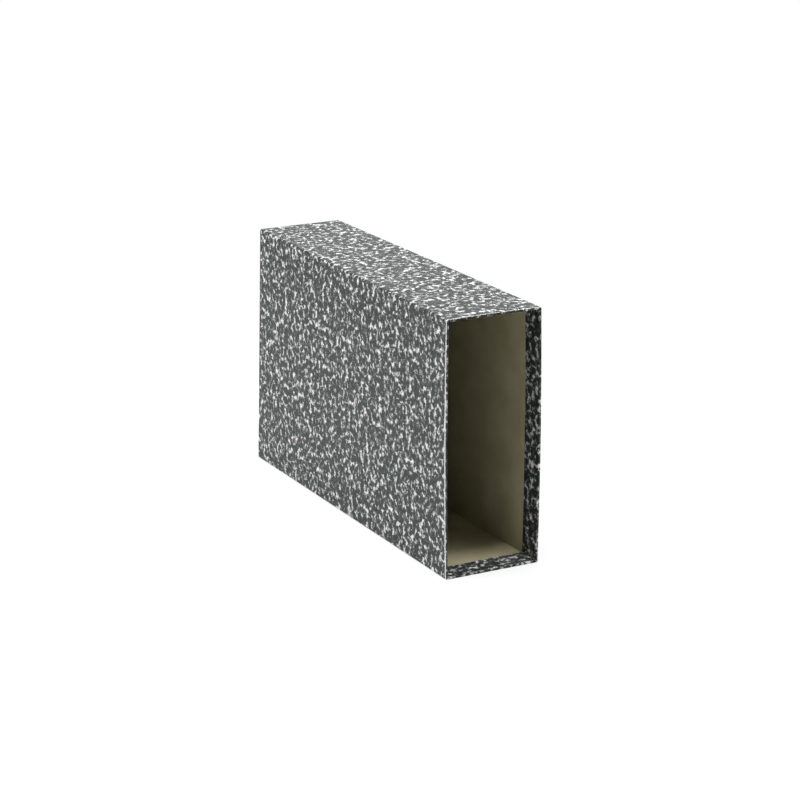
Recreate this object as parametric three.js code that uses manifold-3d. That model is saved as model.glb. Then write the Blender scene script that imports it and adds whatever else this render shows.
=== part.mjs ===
// Slipcase for a landscape lever-arch binder: a box with one open end, made of covered greyboard.
// The board is one scored blank. Three long folds make its four walls, whose last edge is butted at
// the lower right corner, and the back panel folds in from the left wall and closes the far end.
// One sheet of marbled paper goes round the four walls, over the mouth edge and onto the back, and
// a second piece of the same paper is pasted on the back over its folded edges.
// Millimetres, +Z up. The mouth faces -Y and the back +Y. The origin is the middle of the base.

import * as THREE from "three";
import { mergeVertices } from "three/addons/utils/BufferGeometryUtils.js";
import Module from "manifold-3d";

const wasm = await Module();
wasm.setup();

// Outside of the covered case
const caseWidth = 72;
const caseDepth = 299;
const caseHeight = 180;

// Sheets
const boardThickness = 1.5;
const paperThickness = 0.15;

// Board edges and folds
const foldRadius = 1.2; // outside of a scored long fold
const buttRadius = 0.5; // outside of the long corner that is butted and rubbed down
const backEdgeRadius = 0.7; // outside of the four edges round the back
const rimRadius = 0.35; // both edges of the cut board at the mouth
const innerFoldRadius = 0.3; // inside of every long corner
const seamGap = 0.3; // between two board edges that are glued together

// Paper cover
const turnIn = 18; // how far the cover reaches into the mouth
const backFlap = 15; // how far it reaches onto the back
const slitWidth = 0.3; // between two flaps of the cover that meet at a corner
const slitStop = 1.5; // what a slit leaves whole at the edge that it starts from
const lapWidth = 12; // where the two ends of the sheet lie on each other
const lapRise = 3; // free edge of the lap above the base
const lapStop = 3; // the under layer of the lap ends this far from the mouth and the back

// Paper on the back
const patchMargin = 2.5; // plain border between the patch and the edges of the back
const patchClearance = 0.1; // between the middle of the patch and the flaps round it
const patchRadius = 0.5; // corners of the patch

// Facets
const cornerSteps = 6; // round a long corner
const edgeSteps = 3; // round an edge of the mouth or the back

// The second layer at the lap stands proud of the right wall, so the walls lie that much to the left.
const coverWidth = caseWidth - paperThickness;
const centreX = -paperThickness / 2;
const centreZ = caseHeight / 2;

// Depths of the layers
const mouth = -caseDepth / 2;
const boardMouth = mouth + paperThickness;
const flapEnd = mouth + turnIn;
const patchFace = caseDepth / 2;
const flapFace = patchFace - paperThickness;
const boardBack = flapFace - paperThickness;
const roomBack = boardBack - boardThickness;

// Insets of the layers from the outside of the cover
const boardOutside = paperThickness;
const boardInside = boardOutside + boardThickness;
const coverInside = boardInside + paperThickness;
const boardMiddle = boardOutside + boardThickness / 2;

// A profile point with this inset lies on the middle line of the case.
const middleLine = coverWidth / 2;

// The long corners of a section, clockwise seen from the mouth: the sides they face, their outside radius
const longCorners = [
  { right: 1, up: 1, radius: foldRadius },
  { right: 1, up: -1, radius: buttRadius },
  { right: -1, up: -1, radius: foldRadius },
  { right: -1, up: 1, radius: foldRadius },
];

// The x and z of one point on the rounded rectangle at an inset.
function sectionPoint(inset, corner, turn) {
  const radius = Math.max(corner.radius + paperThickness - inset, innerFoldRadius);
  const x = centreX + corner.right * (coverWidth / 2 - inset - radius) + radius * Math.sin(turn);
  const z = centreZ + corner.up * (caseHeight / 2 - inset - radius) + radius * Math.cos(turn);
  return [x, z];
}

// Where a rounded edge of the profile starts to turn, as an angle from the direction into the case:
// facing the room, facing the mouth, or facing the outside of the wall.
const facing = { room: 2 * Math.PI, mouth: 1.5 * Math.PI, outside: Math.PI };

// A rounded edge: a quarter circle of [inset, y] profile points round a centre.
function quarter(inset, y, radius, from) {
  const points = [];
  for (let step = 0; step <= edgeSteps; step += 1) {
    const angle = from - ((Math.PI / 2) * step) / edgeSteps;
    points.push([inset + radius * Math.cos(angle), y + radius * Math.sin(angle)]);
  }
  return points;
}

// A closed mesh as a solid, with shared vertices merged and empty triangles left out.
function toSolid(geometry) {
  geometry.deleteAttribute("normal");
  geometry.deleteAttribute("uv");
  const merged = mergeVertices(geometry);
  const index = merged.getIndex().array;
  const triangles = [];
  for (let i = 0; i < index.length; i += 3) {
    const [a, b, c] = index.slice(i, i + 3);
    if (a !== b && b !== c && c !== a) triangles.push(a, b, c);
  }
  const mesh = new wasm.Mesh({
    numProp: 3,
    vertProperties: merged.getAttribute("position").array,
    triVerts: new Uint32Array(triangles),
  });
  return new wasm.Manifold(mesh);
}

// Turns a profile of [inset, y] points round the case, as a lathe does, but along rounded rectangles.
function turnRoundCase(profile) {
  const pointsPerCorner = cornerSteps + 1;
  const segments = longCorners.length * pointsPerCorner;
  const outline = profile.map(([inset, y]) => new THREE.Vector2(middleLine - inset, y));
  const turned = new THREE.LatheGeometry(outline, segments);
  const position = turned.getAttribute("position");
  for (let segment = 0; segment <= segments; segment += 1) {
    const place = segment % segments;
    const cornerNumber = Math.floor(place / pointsPerCorner);
    const turn = (cornerNumber + (place % pointsPerCorner) / cornerSteps) * (Math.PI / 2);
    profile.forEach(([inset, y], row) => {
      const onAxis = inset === middleLine;
      const [x, z] = onAxis ? [centreX, centreZ] : sectionPoint(inset, longCorners[cornerNumber], turn);
      position.setXYZ(segment * profile.length + row, x, y, z);
    });
  }
  return toSolid(turned);
}

// A block between two opposite corners.
function block(low, high) {
  const size = high.map((value, axis) => value - low[axis]);
  const box = new THREE.BoxGeometry(...size);
  box.translate(...low.map((value, axis) => value + size[axis] / 2));
  return toSolid(box);
}

// A plate across the case between two depths, its outline set in from the outside of the cover.
function plateAcross(inset, radius, yFrom, yTo) {
  const right = coverWidth / 2 - inset;
  const top = caseHeight / 2 - inset;
  const outline = new THREE.Shape();
  outline.absarc(right - radius, top - radius, radius, 0, Math.PI / 2);
  outline.absarc(radius - right, top - radius, radius, Math.PI / 2, Math.PI);
  outline.absarc(radius - right, radius - top, radius, Math.PI, 1.5 * Math.PI);
  outline.absarc(right - radius, radius - top, radius, 1.5 * Math.PI, 2 * Math.PI);
  const settings = { depth: yTo - yFrom, bevelEnabled: false, curveSegments: edgeSteps };
  const plate = new THREE.ExtrudeGeometry(outline, settings);
  plate.rotateX(Math.PI / 2);
  plate.translate(centreX, yTo, centreZ);
  return toSolid(plate);
}

// The folded board before its glued seams are opened: the walls, the rounded mouth edge and the back.
function foldedBoard() {
  return turnRoundCase([
    [middleLine, roomBack],
    [boardInside, roomBack],
    ...quarter(boardInside - rimRadius, boardMouth + rimRadius, rimRadius, facing.room),
    ...quarter(boardOutside + rimRadius, boardMouth + rimRadius, rimRadius, facing.mouth),
    ...quarter(boardOutside + backEdgeRadius, boardBack - backEdgeRadius, backEdgeRadius, facing.outside),
    [middleLine, boardBack],
  ]);
}

// The glued seams: the base butts against the right wall, and the back panel, which hangs on the
// left wall by its fold, closes on the ends of the other three.
function boardSeams() {
  const outside = caseHeight;
  const rightWallInside = centreX + coverWidth / 2 - boardInside;
  const leftWallInside = centreX - coverWidth / 2 + boardInside;
  const longSeam = block(
    [rightWallInside - seamGap, mouth - turnIn, -outside],
    [rightWallInside, roomBack, boardInside + innerFoldRadius],
  );
  const backSeam = block(
    [leftWallInside, roomBack - seamGap, -outside],
    [caseWidth, roomBack, caseHeight + outside],
  );
  return longSeam.add(backSeam);
}

// The cover as it lies on the board: from its turned-in edge, over the mouth and along the walls, to
// the flap on the back. Its inner side runs inside the board, which is cut away from it.
function coverOnBoard(board) {
  const mouthRadius = rimRadius + paperThickness;
  const backRadius = backEdgeRadius + paperThickness;
  const turnedInEdge = [coverInside, flapEnd];
  const skin = turnRoundCase([
    turnedInEdge,
    ...quarter(coverInside - mouthRadius, mouth + mouthRadius, mouthRadius, facing.room),
    ...quarter(mouthRadius, mouth + mouthRadius, mouthRadius, facing.mouth),
    ...quarter(backRadius, flapFace - backRadius, backRadius, facing.outside),
    [backFlap, flapFace],
    [backFlap, boardBack - boardThickness / 2],
    [boardMiddle, boardBack - boardThickness / 2],
    [boardMiddle, flapEnd],
    turnedInEdge,
  ]);
  return skin.subtract(board);
}

// The lap on the right wall, where the sheet ends over its own beginning and is two layers thick.
function coverLap() {
  return block(
    [caseWidth / 2 - 1.5 * paperThickness, mouth + lapStop, lapRise],
    [caseWidth / 2, boardBack - lapStop, lapRise + lapWidth],
  );
}

// The slits at the mouth: the side flaps are laid last and stop short of the floor and the top flap.
function mouthSlits() {
  const reach = paperThickness + innerFoldRadius;
  const slits = [];
  for (const side of [-1, 1]) {
    const wall = centreX + side * (coverWidth / 2 - boardInside);
    const xRange = [wall + side * slitWidth, wall - side * reach].sort((a, b) => a - b);
    for (const z of [coverInside, caseHeight - coverInside - slitWidth]) {
      slits.push(block([xRange[0], mouth + slitStop, z], [xRange[1], flapEnd + slitStop, z + slitWidth]));
    }
  }
  return slits;
}

// The slits on the back: the four flaps meet in mitres, from the middle out to near each corner.
function backSlits() {
  const length = (backFlap - slitStop) * Math.SQRT2;
  const distanceIn = (backFlap + slitStop) / 2;
  return longCorners.map(({ right, up }) => {
    const slit = new THREE.BoxGeometry(length + slitWidth, 4 * paperThickness, slitWidth);
    slit.rotateY((-right * up * Math.PI) / 4);
    const x = centreX + right * (coverWidth / 2 - distanceIn);
    const z = centreZ + up * (caseHeight / 2 - distanceIn);
    slit.translate(x, boardBack, z);
    return toSolid(slit);
  });
}

// The patch on the back: its border lies on the flaps, and its middle sinks between them to the board.
function backPatch() {
  const middleInset = backFlap + patchClearance;
  const border = plateAcross(patchMargin, patchRadius, flapFace, patchFace);
  const middle = plateAcross(middleInset, patchRadius, boardBack, patchFace);
  const sunk = plateAcross(middleInset + paperThickness, patchRadius, flapFace, patchFace + slitWidth);
  return border.add(middle).subtract(sunk);
}

// One named piece from a solid.
function piece(name, solid, material) {
  const { vertProperties, triVerts } = solid.getMesh();
  const geometry = new THREE.BufferGeometry();
  geometry.setAttribute("position", new THREE.BufferAttribute(vertProperties, 3));
  geometry.setIndex(new THREE.BufferAttribute(triVerts, 1));
  geometry.computeVertexNormals();
  const mesh = new THREE.Mesh(geometry, material);
  mesh.name = name;
  return mesh;
}

const greyboard = new THREE.MeshStandardMaterial({ color: 0x6f6a50, roughness: 0.95, metalness: 0 });
const marbledPaper = new THREE.MeshStandardMaterial({ color: 0x5b6361, roughness: 0.5, metalness: 0 });

const board = foldedBoard();
const cover = [...mouthSlits(), ...backSlits()].reduce(
  (sheet, slit) => sheet.subtract(slit),
  coverOnBoard(board).add(coverLap()),
);

const slipcase = new THREE.Group();
slipcase.add(
  piece("board_case", board.subtract(boardSeams()), greyboard),
  piece("cover_wrap", cover, marbledPaper),
  piece("back_paper", backPatch(), marbledPaper),
);

export default slipcase;
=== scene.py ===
from math import cos, hypot, pi, radians, sin

import bmesh
import bpy
from mathutils import Matrix, Vector


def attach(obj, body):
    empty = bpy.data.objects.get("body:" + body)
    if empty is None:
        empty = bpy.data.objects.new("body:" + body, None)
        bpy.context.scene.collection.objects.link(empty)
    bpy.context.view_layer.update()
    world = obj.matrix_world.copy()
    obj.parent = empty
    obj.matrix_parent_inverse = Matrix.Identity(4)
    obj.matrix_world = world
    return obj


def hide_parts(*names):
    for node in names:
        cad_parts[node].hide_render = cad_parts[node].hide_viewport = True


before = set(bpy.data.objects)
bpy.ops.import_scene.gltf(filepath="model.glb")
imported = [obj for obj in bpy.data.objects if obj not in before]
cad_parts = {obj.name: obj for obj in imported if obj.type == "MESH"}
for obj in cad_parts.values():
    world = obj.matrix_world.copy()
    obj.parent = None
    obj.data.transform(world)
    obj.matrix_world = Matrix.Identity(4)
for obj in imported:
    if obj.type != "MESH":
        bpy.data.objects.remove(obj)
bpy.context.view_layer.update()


# The greyboard case: one blank of khaki greyboard, 1.5 mm thick, scored, folded into four walls and a back,
# and glued at its seams. It is bare inside. Its walls have sprung a little way out at the mouth, and the
# left one leans in at the top of the back, so the paper pasted on it follows the same gentle curve.


class Reading:
    """A number or colour over a surface, that plain arithmetic works on."""

    def __init__(self, bench, socket):
        self.bench, self.socket = bench, socket

    def other(self, name):
        return Reading(self.bench, self.socket.node.outputs[name])

    def reckon(self, sign, first, second=0.0):
        return self.bench.node("ShaderNodeMath", {"operation": sign}, {0: first, 1: second})

    def __add__(self, amount):
        return self.reckon("ADD", self, amount)

    def __radd__(self, amount):
        return self.reckon("ADD", amount, self)

    def __sub__(self, amount):
        return self.reckon("SUBTRACT", self, amount)

    def __mul__(self, amount):
        return self.reckon("MULTIPLY", self, amount)

    def __truediv__(self, amount):
        return self.reckon("DIVIDE", self, amount)


class Bench:
    """The workbench on which the nodes of one finish, or of one rule for a shape, are laid out."""

    def __init__(self, tree):
        self.tree = tree
        tree.nodes.clear()

    def node(self, kind, settings, inputs, output=0):
        made = self.tree.nodes.new(kind)
        for name, setting in settings.items():
            setattr(made, name, setting)
        for key, given in inputs.items():
            if isinstance(given, Reading):
                self.tree.links.new(given.socket, made.inputs[key])
            else:
                made.inputs[key].default_value = given
        return Reading(self, made.outputs[output]) if made.outputs else made

    def rise(self, reading, low, high):
        """0 below low, 1 above high and a soft slope between; high may be the smaller one."""
        return self.node(
            "ShaderNodeMapRange",
            {"interpolation_type": "SMOOTHSTEP"},
            {"Value": reading, "From Min": low, "From Max": high},
        )

    def blend(self, share, first, second):
        """Two colours mixed by a share from 0 to 1."""
        return self.node("ShaderNodeMix", {"data_type": "RGBA"}, {0: share, 6: first, 7: second}, 2)

    def shift(self, place, by):
        return self.node("ShaderNodeVectorMath", {"operation": "ADD"}, {0: place, 1: by})

    def stretch(self, place, by):
        return self.node("ShaderNodeVectorMath", {"operation": "MULTIPLY"}, {0: place, 1: by})

    def clouds(self, place, size, detail=2.0, roughness=0.5):
        """Soft clouds of this size, in the unit of place."""
        return self.node(
            "ShaderNodeTexNoise",
            {"noise_dimensions": "3D"},
            {"Vector": place, "Scale": 1 / size, "Detail": detail, "Roughness": roughness},
        )


def new_finish(name):
    material = bpy.data.materials.new(name)
    material.use_nodes = True
    return material, Bench(material.node_tree)


mouth, case_height = -0.1495, 0.180
spring_sizes = {
    "Mouth": mouth,
    "Closed end": 0.1495,
    "Height": case_height,
    "Half width": 0.036,
    "Right spring": 0.0011,
    "Left spring": 0.0008,
    "Top spring": 0.0003,
    "Left lean": 0.0052,
}

spring_rule = bpy.data.node_groups.new("sprung walls", "GeometryNodeTree")
spring_rule.interface.new_socket("Geometry", in_out="INPUT", socket_type="NodeSocketGeometry")
for name in spring_sizes:
    spring_rule.interface.new_socket(name, in_out="INPUT", socket_type="NodeSocketFloat")
for name in ("Face finish", "Edge finish"):
    spring_rule.interface.new_socket(name, in_out="INPUT", socket_type="NodeSocketMaterial")
spring_rule.interface.new_socket("Geometry", in_out="OUTPUT", socket_type="NodeSocketGeometry")
rule = Bench(spring_rule)
given = rule.node("NodeGroupInput", {}, {})
place = rule.node("ShaderNodeSeparateXYZ", {}, {0: rule.node("GeometryNodeInputPosition", {}, {})})
end_y = given.other("Closed end")
reach = (end_y - place.other("Y")) / (end_y - given.other("Mouth"))
height_share = place.other("Z") / given.other("Height")
bulge = rule.node("ShaderNodeMath", {"operation": "SINE"}, {0: height_share * pi}) * reach
side = place.other("X") / given.other("Half width")
to_right = side.reckon("MAXIMUM", side, 0.0) * given.other("Right spring")
to_left = side.reckon("MINIMUM", side, 0.0) * given.other("Left spring")
leaning = side.reckon("MINIMUM", side, 0.0) * (reach - 1) * height_share * given.other("Left lean")
crown = rule.node("ShaderNodeMath", {"operation": "COSINE"}, {0: side * (pi / 2)}) * height_share * reach
sideways = (to_right + to_left) * bulge + leaning
upwards = crown * given.other("Top spring")
pushed = rule.node("ShaderNodeCombineXYZ", {}, {"X": sideways, "Z": upwards})
sprung = rule.node("GeometryNodeSetPosition", {}, {"Geometry": given.other("Geometry"), "Offset": pushed})
cut_edge = rule.node("GeometryNodeInputMaterialIndex", {}, {})
marked = rule.node(
    "GeometryNodeStoreNamedAttribute",
    {"data_type": "BOOLEAN", "domain": "FACE"},
    {"Geometry": sprung, "Name": "cut edge", "Value": cut_edge},
)
whole = rule.node("GeometryNodeRealizeInstances", {}, {0: marked})
face_material = given.other("Face finish")
faced = rule.node("GeometryNodeSetMaterial", {}, {"Geometry": whole, "Material": face_material})
is_edge = rule.node("GeometryNodeInputNamedAttribute", {"data_type": "BOOLEAN"}, {"Name": "cut edge"})
edged = rule.node(
    "GeometryNodeSetMaterial",
    {},
    {"Geometry": faced, "Selection": is_edge, "Material": given.other("Edge finish")},
)
rule.node("NodeGroupOutput", {}, {0: edged})


def spring(piece, face_finish, edge_finish):
    """Gives the piece the curve of the sprung walls and its finishes, as a plain mesh."""
    modifier = piece.modifiers.new("sprung walls", "NODES")
    modifier.node_group = spring_rule
    settings = {**spring_sizes, "Face finish": face_finish, "Edge finish": edge_finish}
    for socket in spring_rule.interface.items_tree:
        if socket.name in settings:
            modifier[socket.identifier] = settings[socket.name]
    ready = piece.evaluated_get(bpy.context.evaluated_depsgraph_get())
    mesh = bpy.data.meshes.new_from_object(ready)
    piece.modifiers.clear()
    piece.data = mesh
    mesh.polygons.foreach_set("use_smooth", [True] * len(mesh.polygons))
    mesh.set_sharp_from_angle(angle=radians(32))


def grey_board():
    """Khaki greyboard: a dense felt of short fibres with dark and pale specks, matt and a little cloudy."""
    material, bench = new_finish("khaki greyboard")
    place = bench.stretch(bench.node("ShaderNodeTexCoord", {}, {}, "Object"), (1000, 1000, 1000))
    cloud = bench.clouds(place, 22, 3)
    felt = bench.clouds(bench.stretch(place, (1.0, 0.28, 1.0)), 0.42, 3, 0.6)
    grain = bench.clouds(place, 0.9, 2)
    dark_speck = bench.rise(bench.clouds(bench.shift(place, (41, 7, 13)), 0.8, 1), 0.70, 0.80)
    pale_speck = bench.rise(bench.clouds(bench.shift(place, (5, 63, 29)), 0.7, 1), 0.71, 0.80)
    tone = 0.5 + (cloud - 0.5) * 0.9 + (felt - 0.5) * 0.7 + (grain - 0.5) * 0.5
    board = bench.blend(bench.rise(tone, 0.1, 0.9), (0.295, 0.267, 0.165, 1), (0.396, 0.363, 0.239, 1))
    board = bench.blend(dark_speck * 0.45, board, (0.17, 0.14, 0.09, 1))
    board = bench.blend(pale_speck * 0.35, board, (0.66, 0.60, 0.46, 1))
    relief = felt + grain * 0.5
    bump = bench.node("ShaderNodeBump", {}, {"Strength": 0.35, "Distance": 0.00006, "Height": relief})
    shader = bench.node(
        "ShaderNodeBsdfPrincipled",
        {},
        {"Base Color": board, "Roughness": 0.88 + felt * 0.1, "Specular IOR Level": 0.22, "Normal": bump},
    )
    bench.node("ShaderNodeOutputMaterial", {}, {"Surface": shader})
    return material


board_finish = grey_board()
board_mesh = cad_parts["board_case"].data.copy()
board_case = bpy.data.objects.new("greyboard_case", board_mesh)
bpy.context.scene.collection.objects.link(board_case)
blank = bmesh.new()
blank.from_mesh(board_mesh)
bmesh.ops.remove_doubles(blank, verts=blank.verts, dist=2e-6)
# Lines across the flat walls, so that they can curve.
board_cuts = [((0, 1, 0), 0.0115 * k) for k in range(-12, 13)]
board_cuts += [((0, 0, 1), 0.009 * k) for k in range(1, 20)]
board_cuts += [((1, 0, 0), 0.009 * k) for k in range(-3, 4)]
for normal, at in board_cuts:
    bmesh.ops.bisect_plane(
        blank, geom=blank.verts[:] + blank.edges[:] + blank.faces[:], dist=1e-6,
        plane_co=[n * at for n in normal], plane_no=normal,
    )
blank.to_mesh(board_mesh)
blank.free()
board_mesh.materials.clear()
board_mesh.materials.append(board_finish)
spring(board_case, board_finish, board_finish)
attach(board_case, "root")
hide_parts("board_case")


# The cover: one sheet of black and white cloud-marbled paper, 0.15 mm thick, pasted round the four walls,
# folded over the mouth edge and turned 18 mm in, and folded 15 mm onto the back. Its ends lap low on the
# right wall, its turned-in flaps are slit at the corners, and its folds are rubbed pale.
paper_thickness = 0.00015
cover_width = 0.07185
cover_centre = -0.000075
wall_thickness = 0.0018
turn_in, back_flap = 0.018, 0.015
fold_radius, butt_radius, tight_radius = 0.00135, 0.00065, 0.0003
rim_radius, back_radius = 0.0005, 0.00085
flap_face = 0.14935
lap_low, lap_high, lap_step = 0.003, 0.015, 0.002
over_lap = [lap_high + lap_step, lap_high, 0.009, lap_low]
held_by_fold, lap_ramp = 0.0012, 0.0018

corners = [
    (1, 1, fold_radius, 0.0),
    (1, -1, butt_radius, pi / 2),
    (-1, -1, fold_radius, pi),
    (-1, 1, fold_radius, 3 * pi / 2),
]


def quarter(steps):
    """The turns from 0 to a right angle in equal steps."""
    return [pi / 2 * k / steps for k in range(steps + 1)]


def corner_point(corner, turn, inset):
    """A point on a corner's arc, that far in from the outside of the sheet."""
    right, up, radius, start = corners[corner]
    radius = max(radius - inset, tight_radius)
    x = cover_centre + right * (cover_width / 2 - inset - radius) + radius * sin(start + turn)
    z = case_height / 2 + up * (case_height / 2 - inset - radius) + radius * cos(start + turn)
    return x, z


def wall_stations():
    """The stations round the sheet, from its under end low on the right wall, round under the base, up the
    left wall and down the right wall to its upper end: a corner and turn, or a wall and share of it."""
    right_length = case_height - fold_radius - butt_radius
    end_share = (case_height - fold_radius - lap_low) / right_length
    stations = [("wall", 0, end_share + (1 - end_share) * k / 2) for k in range(2)]
    for corner, pieces in ((1, 12), (2, 30), (3, 12)):
        stations += [("corner", corner, turn) for turn in quarter(7)]
        shares = [0.006] + [k / pieces for k in range(1, pieces)] + [0.994]
        stations += [("wall", corner, share) for share in shares]
    stations += [("corner", 0, turn) for turn in quarter(7)]
    heights = [0.178] + [0.1740 - 0.0058 * k for k in range(27)] + over_lap
    stations += [("wall", 0, (case_height - fold_radius - z) / right_length) for z in heights]
    return stations


def station_point(station, inset):
    kind, number, turn = station
    if kind == "corner":
        return corner_point(number, turn, inset)
    x0, z0 = corner_point(number, pi / 2, inset)
    x1, z1 = corner_point((number + 1) % 4, 0.0, inset)
    return x0 + (x1 - x0) * turn, z0 + (z1 - z0) * turn


def sheet_rows():
    """The rows across the sheet, from the free edge inside the mouth over the rim to the edge of the back
    flap: depth, inset from the outside, and how rubbed the paper is there."""
    rows = [(mouth + turn_in - (turn_in - rim_radius) * k / 6, wall_thickness, 0.0) for k in range(6)]
    for turn in quarter(5):
        inset = wall_thickness - rim_radius + rim_radius * cos(turn)
        rows.append((mouth + rim_radius - rim_radius * sin(turn), inset, 0.3 * sin(turn)))
    for turn in quarter(5):
        inset = rim_radius - rim_radius * sin(turn)
        rows.append((mouth + rim_radius - rim_radius * cos(turn), inset, 0.3 + 0.7 * turn))
    near, far = mouth + rim_radius, flap_face - back_radius
    rows += [(near + 0.0006, 0.0, 0.45), (near + 0.0014, 0.0, 0.0), (near + 0.003, 0.0, 0.0)]
    rows += [(near + 0.003 + (far - near - 0.006) * k / 38, 0.0, 0.0) for k in range(1, 39)]
    rows += [(far - 0.0014, 0.0, 0.0), (far - 0.0006, 0.0, 0.15)]
    for turn in quarter(5):
        rows.append((far + back_radius * sin(turn), back_radius - back_radius * cos(turn), 0.4))
    rows += [(flap_face, back_radius + 0.0008, 0.0)]
    rows += [(flap_face, 0.0025 + (back_flap - 0.0025) * k / 4, 0.0) for k in range(5)]
    return rows


stations, rows = wall_stations(), sheet_rows()
sheet_u = [0.0]
for before, after in zip(stations, stations[1:]):
    x0, z0 = station_point(before, 0.0)
    x1, z1 = station_point(after, 0.0)
    sheet_u.append(sheet_u[-1] + hypot(x1 - x0, z1 - z0))
sheet_v = [0.0]
for before, after in zip(rows, rows[1:]):
    sheet_v.append(sheet_v[-1] + hypot(after[0] - before[0], after[1] - before[1]))

sheet = bmesh.new()
flat_map = sheet.loops.layers.uv.new("flat sheet")
rubbed = sheet.verts.layers.float.new("rubbed")
top_wall, top_wear, corner_wear = 3, 0.72, 0.25
grid = []
for y, inset, wear in rows:
    line = []
    for number, station in enumerate(stations):
        x, z = station_point(station, inset)
        # The upper end of the sheet lies one thickness higher over the lap, but not at the folds.
        lifted = 0.0
        if inset == 0.0 and number >= len(stations) - len(over_lap):
            from_fold = min(y - mouth, flap_face - y)
            lifted = paper_thickness * min(1.0, max(0.0, (from_fold - held_by_fold) / lap_ramp))
            lifted *= min(1.0, max(0.0, (over_lap[0] - z) / lap_step))
        if number == len(stations) - 1 and lifted == 0.0:
            line.append(line[0])
            continue
        # The free edge inside the mouth is cut a little unevenly.
        wavy = 0.0
        if inset == wall_thickness and y > mouth + turn_in - 1e-6:
            round_sheet = 2 * pi * sheet_u[number] / sheet_u[-1]
            wavy = 0.00015 * sin(5 * round_sheet) + 0.00008 * sin(17 * round_sheet)
        point = sheet.verts.new((x + lifted, y + wavy, z))
        on_corner = corner_wear if station[0] == "corner" and inset < 0.001 else 0.0
        on_top = top_wear if station[:2] == ("wall", top_wall) else 1.0
        point[rubbed] = max(wear * on_top, on_corner)
        line.append(point)
    grid.append(line)


def place_on_sheet(number, row):
    """The flat place of a point of the folded sheet: along the wall it lies on, not its shortened flap."""
    station = stations[number]
    if station[0] == "corner":
        return sheet_u[number], sheet_v[row]
    x, z = station_point(station, rows[row][1])
    flat_x, flat_z = station_point(station, 0.0)
    ahead = {0: flat_z - z, 1: flat_x - x, 2: z - flat_z, 3: x - flat_x}[station[1]]
    return sheet_u[number] + ahead, sheet_v[row]


def slit_here(number, row):
    """The turned-in flaps and the back flaps are slit open at their corners."""
    both = stations[number][0] == "corner" and stations[number + 1][0] == "corner"
    inside = rows[row][1] == wall_thickness and rows[row + 1][1] == wall_thickness
    behind = rows[row][1] > back_radius and rows[row][0] == flap_face
    return both and (inside or behind)


for row in range(len(rows) - 1):
    for number in range(len(stations) - 1):
        if slit_here(number, row):
            continue
        spots = [(number, row), (number + 1, row), (number + 1, row + 1), (number, row + 1)]
        points = [grid[r][n] for n, r in spots]
        face = sheet.faces.new(points)
        for loop, (n, r) in zip(face.loops, spots):
            loop[flat_map].uv = place_on_sheet(n, r)
    # The cut edge of the upper end, closed down onto the under end.
    ends = [grid[row][-1], grid[row][0], grid[row + 1][0], grid[row + 1][-1]]
    ends = [point for k, point in enumerate(ends) if point not in ends[:k]]
    if len(ends) > 2:
        sheet.faces.new(ends).material_index = 1
sheet_mesh = bpy.data.meshes.new("marbled_cover")
sheet.to_mesh(sheet_mesh)
sheet.free()


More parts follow.
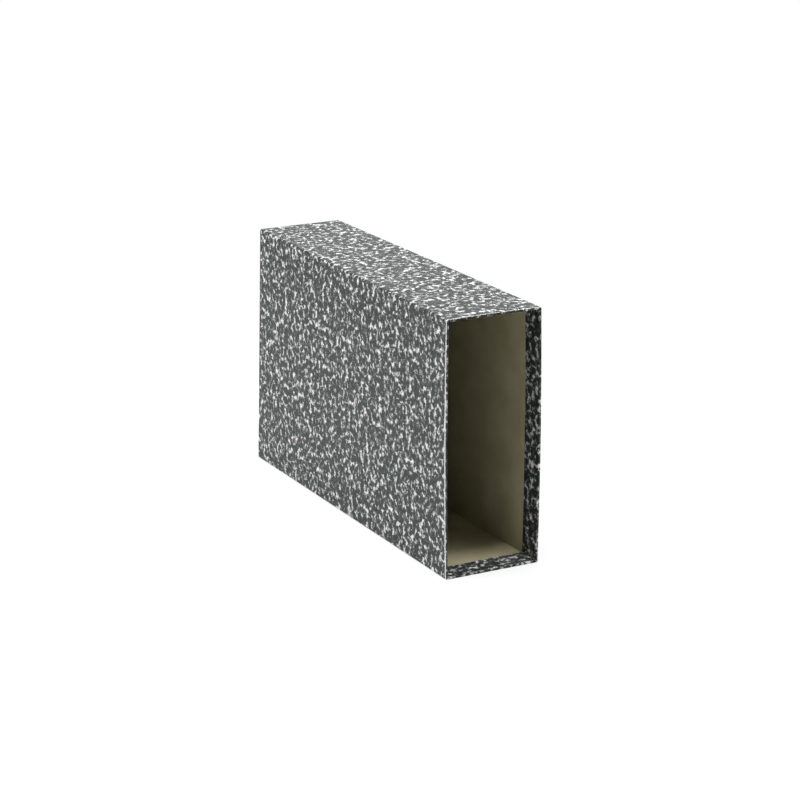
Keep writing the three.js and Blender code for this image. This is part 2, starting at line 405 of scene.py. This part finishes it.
def marbled_paper():
    """Cloud-marbled covering paper: ragged pale veins, blots and specks between rounded black cells, printed
    on a white sheet and lightly varnished, with the print rubbed off along the folds."""
    material, bench = new_finish("marbled cover paper")
    flat = bench.node("ShaderNodeUVMap", {"uv_map": "flat sheet"}, {})
    place = bench.stretch(flat, (1000, 1000, 0))
    wander = bench.stretch(
        bench.shift(bench.clouds(place, 8.5, 1).other("Color"), (-0.5, -0.5, 0)), (10.0, 10.0, 0)
    )
    ragged = bench.stretch(
        bench.shift(bench.clouds(place, 2.1, 5, 0.72).other("Color"), (-0.5, -0.5, 0)), (5.6, 5.6, 0)
    )
    drawn = bench.shift(bench.shift(place, wander), ragged)
    cells = bench.node(
        "ShaderNodeTexVoronoi",
        {"voronoi_dimensions": "2D", "feature": "DISTANCE_TO_EDGE"},
        {"Vector": drawn, "Scale": 1 / 6.8, "Randomness": 1.0},
    ) * 6.8
    between_cells = bench.rise(cells, 1.8, 0.0)
    spread = bench.clouds(bench.shift(bench.shift(place, ragged), (90, 40, 0)), 4.0, 5, 0.68)
    crowding = bench.clouds(bench.shift(place, (17, 230, 0)), 9.0, 1)
    lightness = spread + between_cells * 0.10 + crowding * 0.20
    fine = bench.clouds(bench.shift(place, (7, 310, 0)), 0.8, 3, 0.6)
    washed = bench.rise(lightness, 0.60, 0.89)
    crisp = bench.rise(lightness + (fine - 0.5) * 0.32, 0.701, 0.764)
    speck = bench.rise(fine, 0.50, 0.80)
    pale = washed * 0.38 + crisp * 0.62
    pale = pale.reckon("MAXIMUM", pale, speck * 0.15)
    rub = bench.node("ShaderNodeAttribute", {"attribute_name": "rubbed"}, {}, "Fac")
    scuff = bench.clouds(bench.shift(place, (3, 77, 0)), 1.1, 3, 0.65)
    bare = bench.rise(scuff + rub * 0.42, 0.74, 0.92)
    ink_tone = bench.clouds(place, 1.6, 3, 0.6)
    ink = bench.blend(bench.rise(ink_tone, 0.3, 0.75), (0.001, 0.005, 0.004, 1), (0.027, 0.037, 0.034, 1))
    fleck = bench.blend(bench.clouds(place, 3.0, 2), (0.56, 0.56, 0.56, 1), (0.76, 0.73, 0.73, 1))
    print_colour = bench.blend(pale, ink, fleck)
    worn = bench.blend(bare, print_colour, (0.64, 0.64, 0.62, 1))
    waves = bench.clouds(place, 14.0, 1)
    fibre = bench.clouds(place, 0.35, 2)
    bump = bench.node(
        "ShaderNodeBump", {}, {"Strength": 0.5, "Distance": 0.0001, "Height": waves * 1.6 + fibre * 0.12}
    )
    shader = bench.node(
        "ShaderNodeBsdfPrincipled",
        {},
        {
            "Base Color": worn,
            "Roughness": 0.31 + fibre * 0.08 + bare * 0.3,
            "IOR": 1.5,
            "Specular IOR Level": 0.079,
            "Normal": bump,
        },
    )
    bench.node("ShaderNodeOutputMaterial", {}, {"Surface": shader})
    return material


def paper_pulp():
    """The unprinted side and the cut edges of the covering paper: off-white, matt, a little fibrous."""
    material, bench = new_finish("paper pulp")
    place = bench.stretch(bench.node("ShaderNodeTexCoord", {}, {}, "Object"), (1000, 1000, 1000))
    fibre = bench.clouds(place, 0.5, 3, 0.6)
    pulp = bench.blend(fibre, (0.50, 0.48, 0.44, 1), (0.68, 0.66, 0.61, 1))
    bump = bench.node("ShaderNodeBump", {}, {"Strength": 0.3, "Distance": 0.00004, "Height": fibre})
    shader = bench.node(
        "ShaderNodeBsdfPrincipled", {}, {"Base Color": pulp, "Roughness": 0.9, "Normal": bump}
    )
    bench.node("ShaderNodeOutputMaterial", {}, {"Surface": shader})
    return material


cover_finish = marbled_paper()
pulp_finish = paper_pulp()


def paste_sheet(name, mesh):
    """Gives a sheet of paper its thickness, towards the board, with pulp behind and at its cut edges."""
    piece = bpy.data.objects.new(name, mesh)
    bpy.context.scene.collection.objects.link(piece)
    for finish in (cover_finish, pulp_finish):
        mesh.materials.append(finish)
    body = piece.modifiers.new("thickness", "SOLIDIFY")
    body.thickness = paper_thickness
    body.offset = -1.0
    body.thickness_clamp = 1.0
    body.material_offset = 1
    body.material_offset_rim = 1
    return piece


marbled_cover = paste_sheet("marbled_cover", sheet_mesh)
spring(marbled_cover, cover_finish, pulp_finish)
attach(marbled_cover, "root")
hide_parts("cover_wrap")


# The back paper: a piece of the same marbled paper, cut 2.5 mm short of the case's edges and pasted on the
# back. It lies on the cover's folded flaps round its border and sinks onto the bare board between them.
patch_margin = 0.0025
patch_face = 0.1495
patch_half_width = cover_width / 2 - patch_margin
patch_half_height = case_height / 2 - patch_margin
sink_from, sink_to = back_flap - patch_margin + 0.0001, back_flap - patch_margin + 0.0012
patch = bmesh.new()
patch_map = patch.loops.layers.uv.new("flat sheet")


def patch_lines(half):
    """Lines across the patch, close together where it steps down off the flaps."""
    border = [half - b for b in (0.0, 0.0006, 0.006, sink_from, (sink_from + sink_to) / 2, sink_to)]
    inner = half - sink_to
    count = max(2, round(2 * inner / 0.008))
    return [-b for b in border] + [-inner + 2 * inner * k / count for k in range(1, count)] + border[::-1]


patch_grid = []
for a in patch_lines(patch_half_width):
    line = []
    for b in patch_lines(patch_half_height):
        edge = min(patch_half_width - abs(a), patch_half_height - abs(b))
        share = min(1.0, max(0.0, (edge - sink_from) / (sink_to - sink_from)))
        sunk = paper_thickness * share * share * (3 - 2 * share)
        line.append(patch.verts.new((cover_centre + a, patch_face - sunk, case_height / 2 + b)))
    patch_grid.append(line)
for before, after in zip(patch_grid, patch_grid[1:]):
    for k in range(len(before) - 1):
        face = patch.faces.new([before[k], before[k + 1], after[k + 1], after[k]])
        for loop in face.loops:
            loop[patch_map].uv = (loop.vert.co.x + 0.7, loop.vert.co.z + 0.4)
bmesh.ops.recalc_face_normals(patch, faces=patch.faces)
if patch.faces[:][0].normal.y < 0:
    bmesh.ops.reverse_faces(patch, faces=patch.faces)
patch_mesh = bpy.data.meshes.new("marbled_back")
patch.to_mesh(patch_mesh)
patch.free()
marbled_back = paste_sheet("marbled_back", patch_mesh)
spring(marbled_back, cover_finish, pulp_finish)
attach(marbled_back, "root")
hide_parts("back_paper")


# The floor: a wide sheet of matt white studio paper under the case, level and unrolled past the picture's
# edges. To the eye it is nearly as bright as the room, so only the soft shadow beside the case marks it.
floor_mesh = bpy.data.meshes.new("studio_floor")
floor_mesh.from_pydata([(-6, -6, 0), (6, -6, 0), (6, 6, 0), (-6, 6, 0)], [], [(0, 1, 2, 3)])
studio_floor = bpy.data.objects.new("studio_floor", floor_mesh)
bpy.context.scene.collection.objects.link(studio_floor)
floor_finish, bench = new_finish("white floor")
seen = bench.node("ShaderNodeLightPath", {}, {})
place = bench.node("ShaderNodeTexCoord", {}, {}, "Object")
from_case = bench.node("ShaderNodeVectorMath", {"operation": "LENGTH"}, {0: place}, 1)
straight_on = seen.other("Is Camera Ray") * (0.74 + bench.rise(from_case, 0.25, 0.75) * 0.26)
matt_white = bench.node("ShaderNodeBsdfDiffuse", {}, {"Color": (0.72, 0.72, 0.72, 1)})
lit_white = bench.node("ShaderNodeEmission", {}, {"Color": (1, 1, 1, 1), "Strength": 1.0})
swept = bench.node("ShaderNodeMixShader", {}, {0: straight_on, 1: matt_white, 2: lit_white})
bench.node("ShaderNodeOutputMaterial", {}, {"Surface": swept})
floor_mesh.materials.append(floor_finish)


# The light: a white room that is brighter to the eye and in the varnish than on the case, a wide softbox
# above, a small one over the mouth, one at the left behind the mouth and a weak one in front, so that the
# left side and the top are lit and the inside is dim.
room = bpy.data.worlds.new("white room")
room.use_nodes = True
bench = Bench(room.node_tree)
ray = bench.node("ShaderNodeLightPath", {}, {})
mirrored = ray.reckon("MAXIMUM", ray.other("Is Glossy Ray"), ray.other("Is Transmission Ray"))
plain_sight = ray.reckon("MAXIMUM", ray.other("Is Camera Ray"), mirrored)
backdrop = bench.node(
    "ShaderNodeBackground", {}, {"Color": (1, 1, 1, 1), "Strength": 0.17 + plain_sight * 0.83}
)
bench.node("ShaderNodeOutputWorld", {}, {"Surface": backdrop})
bpy.context.scene.world = room

case_middle = Vector((0, 0, 0.09))
softboxes = [
    ("top softbox", (-0.2, 0.15, 1.8), 1.3, 45.0),
    ("mouth softbox", (-0.05, -0.41, 1.85), 0.3, 16.0),
    ("left softbox", (-1.5, 0.45, 0.7), 1.0, 17.5),
    ("front softbox", (0.8, -1.0, 1.4), 0.7, 10.0),
]
for name, spot, size, power in softboxes:
    lamp = bpy.data.lights.new(name, "AREA")
    lamp.shape = "SQUARE"
    lamp.size = size
    lamp.energy = power
    softbox = bpy.data.objects.new(name, lamp)
    softbox.location = spot
    softbox.rotation_euler = (case_middle - Vector(spot)).to_track_quat("-Z", "Y").to_euler()
    bpy.context.scene.collection.objects.link(softbox)


# The camera: a long lens from the front left, a little above the case and held almost level. Its place and
# its lens come from the corners of the case in the photo.
bearing, tilt, lean = radians(-27.97), radians(16.88), radians(-0.10)
to_camera = Vector((sin(bearing) * cos(tilt), -cos(bearing) * cos(tilt), sin(tilt)))
level = Vector((cos(bearing), sin(bearing), 0))
upright = to_camera.cross(level)
across = cos(lean) * level + sin(lean) * upright
upward = cos(lean) * upright - sin(lean) * level
lens = bpy.data.cameras.new("photo camera")
lens.lens = 108.315
lens.sensor_width = 36
camera = bpy.data.objects.new("photo camera", lens)
camera_spot = Matrix.Translation((-0.76852542, -1.46431512, 0.58267496))
camera.matrix_world = camera_spot @ Matrix((across, upward, to_camera)).transposed().to_4x4()
bpy.context.scene.collection.objects.link(camera)
bpy.context.scene.camera = camera
bpy.context.scene.view_settings.view_transform = "Standard"
